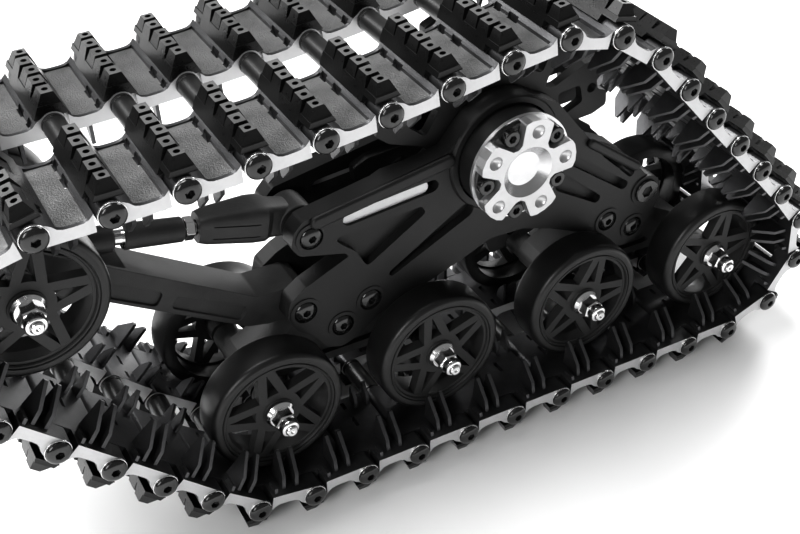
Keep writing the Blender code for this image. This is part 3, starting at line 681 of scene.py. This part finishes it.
def build_drive(mats):
    hub = joint_place("drive_spin")
    place = Matrix.Translation(hub)
    cap = make_cap(mats)
    adopt(cap, "hub_cap_star", "drive", ("hub_cap",), place)
    insert = lathe("insert", (0, 0), ((-CAP_BACK - 0.7, 14.3), (-CAP_BACK - 1.5, 14.3), (-CAP_BACK - 1.8, 14.0)), 96)
    dress(polish(insert, 0.15), mats["hub"])
    adopt(insert, "hub_insert", "drive", (), place)
    screw = make_socket_screw(mats, 2.35, 2.0)
    for i in range(5):
        a = math.radians(CAP_PHASE + 36 + 72 * i)
        seat = Vector((12.0 * math.cos(a), -CAP_BACK - 1.7, 12.0 * math.sin(a))) * MM
        spin = Matrix.Rotation(math.radians(25 * i), 4, "Y")
        copies(screw, f"hub_screw_{i + 1}", "drive", place @ Matrix.Translation(seat) @ spin)
    drop(screw)
    sprocket = make_sprocket(mats)
    adopt(sprocket, "sprocket_discs", "drive", ("sprocket",), place)


def make_sprocket(mats):
    """The barrel and its two toothed discs, with lightening holes in every arm."""
    profile = ((-18.1, BARREL_NEAR_R), (-12.2, BARREL_NEAR_R), (-12.2, 14.0), (-11.9, 14.0), (-11.9, BARREL_NEAR_R))
    profile += ((-5.8, BARREL_NEAR_R), (-5.8, 12.0), (5.8, 12.0), (5.8, 9.4), (14.0, 9.4))
    barrel = lathe("sprocket", (0, 0), profile, 72)
    outline = []
    for i in range(8):
        middle = SPROCKET_PHASE + 45 * i
        for offset, r in ((-22.5, 19.5), (-17, 23), (-15, 33), (-12.0, SPROCKET_R), (-5.0, SPROCKET_R), (-2.5, 34.8),
                          (2.5, 34.8), (5.0, SPROCKET_R), (12.0, SPROCKET_R), (15, 33), (17, 23)):
            a = math.radians(middle + offset)
            outline.append((r * math.cos(a), r * math.sin(a)))
    outline = rounded(outline, 1.2, 2)
    discs = [prism("disc", outline, side * 3.0, side * 5.8) for side in (-1, 1)]
    sprocket = join(barrel, discs)
    holes = []
    for i in range(8):
        a = math.radians(SPROCKET_PHASE + 45 * i)
        across = Vector((-math.sin(a), math.cos(a)))
        along = Vector((math.cos(a), math.sin(a)))
        window = [along * 22.0 + across * 4.0, along * 22.0 - across * 4.0, along * 29.4 - across * 2.8, along * 29.4 + across * 2.8]
        holes.append(prism("window", rounded([tuple(p) for p in window], 1.4, 3), -8, 8))
        holes.append(prism("eye", circle(tuple(along * 32.8), 1.5, 16), -8, 8))
        b = a + math.radians(22.5)
        holes.append(prism("round", circle((15.8 * math.cos(b), 15.8 * math.sin(b)), 1.3, 16), -8, 8))
    holes.append(lathe("hex", (0, 0), ((2.0, 3.6), (15.0, 3.6)), 6))
    sprocket = cut(sprocket, holes)
    return dress(polish(sprocket, 0.3), mats["sprocket"])


# Frame


def plate_outline():
    """Outline of both frame plates, seen from the near side: hub arch, rear lobe, front lobe and notch."""
    rear = [(6.5, 98.2), (16.5, 92.6), (28.2, 78.6), (37.4, 74.0), (45.6, 66.4), (51.0, 60.2), (56.6, 56.2), (58.0, 50.6)]
    rear_foot = [(55.0, 43.0), (51.4, 37.6), (46.6, 36.0), (41.2, 38.6), (34.6, 44.2), (18.6, 51.4)]
    arch = [(8.4, 54.9), (-2.4, 55.2), (-13.0, 50.6), (-30.0, 44.4)]
    front_foot = [(-38.0, 41.6), (-43.6, 36.8), (-49.0, 34.9), (-53.6, 36.4), (-56.8, 41.4), (-61.8, 45.2), (-64.8, 50.0)]
    notch = [(-63.6, 55.4), (-59.2, 58.6), (-46.4, 64.4), (-47.4, 65.6), (-60.4, 69.0), (-62.6, 72.0)]
    top = [(-61.9, 76.2), (-59.2, 79.2), (-36.0, 83.6), (-17.6, 87.0), (-14.0, 91.9), (-8.5, 97.0), (0.0, 99.2)]
    return rear + rear_foot + arch + front_foot + notch + top


def make_plate(mats, side, bore_r):
    """One deep moulded frame half, about the foot of the hub's axis."""
    y_in, y_out = (side * f for f in PLATE_FACES)
    hub_z = joint_place("drive_spin").z / MM
    centre = (0.0, hub_z)
    outline = rounded(plate_outline(), 2.4, 3)
    plate = prism("plate", outline, y_in, y_out)
    parts = [lathe("collar", centre, ((y_in, COLLAR_R), (y_out + side * 0.3, COLLAR_R), (y_out + side * 0.9, COLLAR_R - 0.5)), 96)]
    for spot in (UPPER_PIVOT, ARM_PIVOT, *ROCKER_PIVOTS, *FRAME_SCREWS):
        parts.append(lathe("boss", spot, ((y_in, 4.3), (y_out + side * 0.35, 4.3)), 40))
    parts.append(lathe("boss", STANDOFF, ((y_in, 5.2), (y_out + side * 0.5, 5.0)), 40))
    plate = join(plate, parts)
    cutters = [lathe("bore", centre, ((y_in - side, bore_r), (y_out + side * 3, bore_r)), 96)]
    slots = (slot_outline((-46.2, 75.8), (-22.0, 78.3), 1.9, 1.9), slot_outline((34.6, 72.2), (45.4, 62.2), 1.2, 1.2))
    triangle = rounded([(-51.4, 71.2), (-44.4, 65.0), (-41.2, 59.2), (-23.6, 70.6), (-25.0, 73.0)], 1.4, 3)
    pockets = (
        slot_outline((-33.6, 54.4), (-11.2, 67.2), 1.0, 2.4),
        slot_outline((20.8, 66.0), (33.6, 57.0), 2.6, 1.4),
        slot_outline((22.5, 73.5), (43.2, 58.8), 1.5, 1.5),
        triangle,
    )
    for outlines, floor in ((slots, y_in - side), (pockets, y_out - side * 2.6)):
        for shape in outlines:
            cutters.append(prism("pocket", shape, floor, y_out + side * 3))
    for x, z in (UPPER_PIVOT, ARM_PIVOT, *ROCKER_PIVOTS, *FRAME_SCREWS):
        cutters.append(lathe("seat", (x, z), ((y_out - side * 0.9, 3.3), (y_out + side * 3, 3.3)), 32))
    plate = cut(plate, cutters)
    return dress(polish(plate, 0.6, 3, 40), mats["frame"])


def build_frame(mats):
    hub = joint_place("drive_spin")
    foot = Matrix.Translation(Vector((hub.x, 0.0, 0.0)))
    screw = make_button_screw(mats)
    standoff_screw = make_socket_screw(mats, 3.9, 1.4)
    for row, side, bore in (("near", -1, 15.0), ("far", 1, 9.9)):
        plate = make_plate(mats, side, bore)
        adopt(plate, f"frame_plate_{row}", "chassis", (f"frame_{row}",), foot)
        y_out = side * PLATE_FACES[1]
        inlay = prism("inlay", slot_outline((-46.2, 75.8), (-24.6, 78.05), 1.9, 1.9), y_out - side * 2.2, y_out - side * 0.9)
        dress(polish(inlay, 0.2), mats["cut"])
        adopt(inlay, f"slot_inlay_{row}", "chassis", (), foot)
        for i, (first, last, half) in enumerate(FRAME_RIBS):
            rib = prism("rib", slot_outline(first, last, half, half), y_out - side * 0.6, y_out + side * 1.5)
            dress(polish(rib, 1.0, 4), mats["frame"])
            adopt(rib, f"frame_rib_{row}_{i + 1}", "chassis", (), foot)
        flip = Matrix.Rotation(math.pi, 4, "Z") if side > 0 else Matrix.Identity(4)
        spots = (UPPER_PIVOT, ARM_PIVOT, *ROCKER_PIVOTS, *FRAME_SCREWS)
        for i, (x, z) in enumerate(spots):
            seat = Matrix.Translation(Vector((x, side * (PLATE_FACES[1] - 0.85), z)) * MM)
            spin = Matrix.Rotation(math.radians(31 * i), 4, "Y")
            copies(screw, f"frame_screw_{row}_{i + 1}", "chassis", foot @ seat @ flip @ spin)
        seat = Matrix.Translation(Vector((STANDOFF[0], side * PLATE_FACES[1], STANDOFF[1])) * MM)
        copies(standoff_screw, f"standoff_screw_{row}", "chassis", foot @ seat @ flip)
    drop(screw, standoff_screw)
    profile = ((-5.9, 3.4), (-4.3, 3.4), (-4.3, 2.6), (4.3, 2.6), (4.3, 3.4), (5.9, 3.4))
    spacer = dress(polish(lathe("spacer", STANDOFF, profile, 40), 0.15), mats["barrel"])
    adopt(spacer, "standoff_spacer", "chassis", ("rear_standoff",), foot)
    pins = []
    for i, spot in enumerate((UPPER_PIVOT, ARM_PIVOT, *ROCKER_PIVOTS, *FRAME_SCREWS)):
        profile = ((-6.4, 2.1), (6.4, 2.1))
        pin = dress(polish(lathe("pin", spot, profile, 28), 0.1), mats["barrel"])
        pins.append(adopt(pin, f"pivot_pin_{i + 1}", "chassis", (), foot))
    return pins


def build_rockers(mats):
    """Bogie rockers: an arched box beam with bosses round both axles."""
    for name, wheels in (("rocker_front", "12"), ("rocker_rear", "34")):
        pivot = joint_place(f"{name}_swing") / MM
        ends = [joint_place(f"road_wheel_near_{n}_spin") / MM for n in wheels]
        wheel_z = ends[0].z
        left = ends[0].x
        right = ends[1].x
        outline = [
            (left - 4.2, wheel_z + 1.5), (left - 3.4, wheel_z - 3.0), (left + 1.5, wheel_z - 4.2),
            (right - 1.5, wheel_z - 4.2), (right + 3.4, wheel_z - 3.0), (right + 4.2, wheel_z + 1.5),
            (right + 1.5, wheel_z + 4.4), (pivot.x + 5.4, pivot.z + 3.2), (pivot.x + 2.4, pivot.z + 5.5),
            (pivot.x - 2.4, pivot.z + 5.5), (pivot.x - 5.4, pivot.z + 3.2), (left - 1.5, wheel_z + 4.4),
        ]
        rocker = prism(name, rounded(outline, 2.0, 4), -5.8, 5.8)
        parts = []
        for x in (left, right):
            parts.append(lathe("boss", (x, wheel_z), ((-12.8, 3.8), (12.8, 3.8)), 40))
            parts.append(lathe("axle", (x, wheel_z), ((-24.0, 1.5), (24.0, 1.5)), 24))
        rocker = join(rocker, parts)
        cutters = []
        for side in (-1, 1):
            pocket = [(left + 9.5, wheel_z - 1.6), (right - 9.5, wheel_z - 1.6), (pivot.x + 3.0, pivot.z - 5.6), (pivot.x - 3.0, pivot.z - 5.6)]
            cutters.append(prism("pocket", rounded(pocket, 1.2, 3), side * 4.2, side * 8.0))
        cutters.append(lathe("bore", (pivot.x, pivot.z), ((-8, 2.6), (8, 2.6)), 32))
        rocker = polish(cut(rocker, cutters), 0.4, 2)
        adopt(dress(rocker, mats["arm"]), f"{name}_beam", name, (name,))


# Idler arm and tensioner


def build_arm(mats):
    pivot = joint_place("idler_arm_swing") / MM
    idler = joint_place("idler_wheel_near_spin") / MM
    outline = [
        (pivot.x + 3.6, pivot.z + 3.4), (pivot.x + 0.4, pivot.z + 4.9), (pivot.x - 10.6, pivot.z + 4.9),
        (idler.x + 6.6, idler.z + 1.4), (idler.x + 1.4, idler.z + 4.6), (idler.x - 3.4, idler.z + 3.2),
        (idler.x - 4.6, idler.z - 1.2), (idler.x - 1.6, idler.z - 4.6), (pivot.x - 14.0, pivot.z - 3.6),
        (pivot.x - 8.0, pivot.z - 5.0), (pivot.x + 0.6, pivot.z - 5.0), (pivot.x + 4.4, pivot.z - 2.2),
    ]
    arm = prism("arm", rounded(outline, 2.2, 4), -5.85, 5.85)
    parts = [lathe("boss", (idler.x, idler.z), ((side * 5.0, 3.8), (side * 12.8, 3.8)), 40) for side in (-1, 1)]
    arm = join(arm, parts)
    fork = [
        (idler.x - 9.0, idler.z + 9.0), (idler.x - 9.0, idler.z - 9.0), (idler.x + 8.0, idler.z - 12.0),
        (idler.x + 27.0, idler.z - 11.0), (idler.x + 27.0, idler.z + 9.0),
    ]
    cutters = [prism("fork", fork, -4.6, 4.6)]
    cutters.append(lathe("bore", (pivot.x, pivot.z), ((-8, 2.6), (8, 2.6)), 32))
    cutters.append(lathe("axle_bore", (idler.x, idler.z), ((-14, 1.6), (14, 1.6)), 32))
    start = Vector((pivot.x - 12.0, pivot.z - 0.6))
    along = (Vector((idler.x, idler.z - 2.6)) - start).normalized()
    for side in (-1, 1):
        for first, last in ((3.0, 24.0), (28.0, 50.0)):
            pocket = bar(tuple(start + along * first), tuple(start + along * last), 2.1, 1.9)
            cutters.append(prism("pocket", rounded(pocket, 1.3, 4), side * 4.95, side * 8.0))
    arm = polish(cut(arm, cutters), 0.35, 2)
    adopt(dress(arm, mats["arm"]), "idler_arm_beam", "idler_arm", ("idler_arm",))
    axle = polish(lathe("axle", (idler.x, idler.z), ((-24.0, 1.5), (24.0, 1.5)), 32), 0.1)
    adopt(dress(axle, mats["chrome"]), "idler_axle_pin", "idler_arm", ("idler_axle",))


def block_ring(centre, along, half_y, above, below, count=32):
    """A softly squared ring across the tensioner's line, with its own height above and below."""
    up = along.cross(Vector((0, 1, 0)))
    if up.z < 0:
        up = -up
    ring = []
    for i in range(count):
        a = 2 * math.pi * i / count
        across = math.copysign(abs(math.cos(a)) ** 0.55, math.cos(a)) * half_y
        lift = math.copysign(abs(math.sin(a)) ** 0.55, math.sin(a))
        ring.append(centre + Vector((0, across, 0)) + up * lift * (above if lift > 0 else below))
    return ring


def rod_shape(name, start, along, profile, count=36, flats=None):
    """A turned shape about the tensioner's line; the profile is (distance from the pivot, radius)."""
    across = Vector((0, 1, 0))
    up = along.cross(across)
    rings = []
    for distance, radius in profile:
        ring = []
        for i in range(flats or count):
            a = 2 * math.pi * i / (flats or count)
            ring.append(start + along * distance + across * radius * math.cos(a) + up * radius * math.sin(a))
        rings.append(ring)
    return loft(name, rings)


def build_tensioner(mats):
    pivot = joint_place("tensioner_swing") / MM
    idler = joint_place("idler_wheel_near_spin") / MM
    along = (idler - pivot).normalized()
    span = (idler - pivot).length
    eye = lathe("eye", (pivot.x, pivot.z), ((-4.3, 5.0), (-4.0, 5.2), (4.0, 5.2), (4.3, 5.0)), 48)
    rings = []
    for distance, half_y, above, below in ((1.5, 4.0, 4.6, 4.2), (7.2, 4.2, 5.2, 4.4), (9.0, 5.6, 5.8, 4.6),
                                           (12.5, 5.6, 5.8, 4.6), (24.0, 4.0, 4.3, 4.0), (26.2, 3.4, 3.6, 3.5)):
        rings.append(block_ring(pivot + along * distance, along, half_y, above, below))
    body = loft("body", rings)
    rod = join(eye, [body])
    cutters = [lathe("bore", (pivot.x, pivot.z), ((-8, 2.5), (8, 2.5)), 32)]
    cutters.append(rod_shape("thread", pivot, along, ((10, 2.0), (30, 2.0))))
    up = Vector((along.z, 0, -along.x))
    for side in (-1, 1):
        for lift in (-1.6, 1.8):
            line = [pivot + along * d + up * lift + Vector((0, side * y, 0)) for d, y in ((11.0, 5.9), (23.0, 4.4))]
            ring = [[p + up * h + Vector((0, side * y, 0)) for h, y in ((-0.5, 1), (0, -0.9), (0.5, 1))] for p in line]
            cutters.append(loft("flute", ring))
    adopt(dress(polish(cut(rod, cutters), 0.15), mats["rod"]), "tension_rod_body", "tension_rod", ("tension_rod_end",))

    stud = rod_shape("stud", pivot, along, ((13.0, 1.6), (26.8, 1.6), (27.0, 2.4), (27.3, 2.4), (27.3, 1.6), (36.0, 1.6)))
    nut = rod_shape("nut", pivot, along, ((27.2, 3.05), (29.4, 3.05)), flats=6)
    stud = polish(join(stud, [nut]), 0.12)
    adopt(dress(stud, mats["chrome"]), "tension_stud_nut", "tension_sleeve", ("tension_stud",))

    tube = [(29.7, 2.8), (30.1, 3.2), (44.4, 3.3), (44.9, 3.0), (44.9, 1.9), (47.3, 1.9), (47.3, 3.0), (47.8, 3.4), (54.0, 3.4), (60.0, 3.0), (span - 1.5, 2.7)]
    sleeve = rod_shape("sleeve", pivot, along, tube, 40)
    ring = lathe("ring", (idler.x, idler.z), ((-3.5, 4.1), (-3.2, 4.4), (3.2, 4.4), (3.5, 4.1)), 48)
    sleeve = join(sleeve, [ring])
    cutters = [lathe("bore", (idler.x, idler.z), ((-8, 2.45), (8, 2.45)), 32), rod_shape("thread", pivot, along, ((20, 2.0), (38, 2.0)))]
    sleeve = polish(cut(sleeve, cutters), 0.15)
    dress(sleeve, mats["rod"], mats["chrome"])
    mid = pivot + along * 46.1
    mark_faces(sleeve, 1, lambda n, c: (c - mid).length < 2.3 and abs((c - mid).dot(along)) < 1.25)
    adopt(sleeve, "tension_sleeve_body", "tension_sleeve", ("tension_sleeve",))


# Studio


def build_floor():
    """A pale floor under the belt."""
    bm = bmesh.new()
    bmesh.ops.create_grid(bm, x_segments=8, y_segments=8, size=3000.0)
    floor = to_object("studio_floor", bm)
    shader = Shader("floor_paint")
    shader.link(shader.ramp(shader.noise(3.0), ((0.3, grey(0.9)), (0.7, grey(0.93)))), "Base Color")
    shader.link(shader.span(shader.noise(9.0), 0.55, 0.7), "Roughness")
    dress(floor, shader.material)
    floor.location.z = -0.0002


def area_light(name, place, target, size, power):
    data = bpy.data.lights.new(name, "AREA")
    data.shape = "RECTANGLE"
    data.size = size[0]
    data.size_y = size[1]
    data.energy = power
    light = bpy.data.objects.new(name, data)
    light.location = place
    light.rotation_euler = (Vector(target) - Vector(place)).to_track_quat("-Z", "Y").to_euler()
    bpy.context.scene.collection.objects.link(light)
    return light


def build_studio():
    build_floor()
    world = bpy.data.worlds.new("studio_air")
    world.use_nodes = True
    background = world.node_tree.nodes["Background"]
    background.inputs["Color"].default_value = (1.0, 1.0, 1.0, 1.0)
    background.inputs["Strength"].default_value = 0.22
    bpy.context.scene.world = world
    sun = bpy.data.lights.new("overhead", "SUN")
    sun.energy = 3.7
    sun.angle = math.radians(32)
    overhead = bpy.data.objects.new("overhead", sun)
    overhead.rotation_euler = (math.radians(-14), math.radians(-10), 0)
    bpy.context.scene.collection.objects.link(overhead)
    area_light("key", (-0.5, 0.5, 0.7), (0.0, 0.0, 0.05), (0.5, 0.35), 9.0)
    area_light("side", (-0.75, -0.5, 0.55), (0.0, 0.0, 0.05), (0.25, 0.5), 5.0)
    area_light("rim", (0.7, 0.45, 0.5), (0.0, 0.0, 0.06), (0.3, 0.4), 7.0)
    view = bpy.context.scene.view_settings
    view.view_transform = "Standard"
    view.look = "None"
    view.exposure = 0.0


def build_camera():
    """The photograph's viewpoint: a short way off the front near corner, above the idler."""
    data = bpy.data.cameras.new("camera")
    data.sensor_fit = "HORIZONTAL"
    data.sensor_width = 36.0
    data.lens = 53.84
    data.clip_start = 0.01
    data.clip_end = 20.0
    camera = bpy.data.objects.new("camera", data)
    right = Vector((0.87163, -0.48999, 0.01301))
    up = Vector((0.28523, 0.52862, 0.7995))
    back = right.cross(up)
    turn = Matrix((right, up, back)).transposed().to_4x4()
    camera.matrix_world = Matrix.Translation(Vector((-0.13202, -0.23358, 0.24777))) @ turn
    bpy.context.scene.collection.objects.link(camera)
    bpy.context.scene.camera = camera


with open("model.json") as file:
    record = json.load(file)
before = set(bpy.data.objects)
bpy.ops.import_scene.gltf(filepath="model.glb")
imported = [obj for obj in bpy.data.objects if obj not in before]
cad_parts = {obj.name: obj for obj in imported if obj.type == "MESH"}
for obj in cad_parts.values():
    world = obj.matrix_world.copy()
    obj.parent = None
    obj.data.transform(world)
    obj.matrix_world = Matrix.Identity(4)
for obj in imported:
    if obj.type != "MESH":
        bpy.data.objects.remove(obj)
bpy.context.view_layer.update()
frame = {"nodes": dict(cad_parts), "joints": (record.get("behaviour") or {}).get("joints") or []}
materials = make_materials()
build_track(materials)
build_wheels(materials)
build_drive(materials)
build_frame(materials)
build_rockers(materials)
build_arm(materials)
build_tensioner(materials)
build_studio()
build_camera()
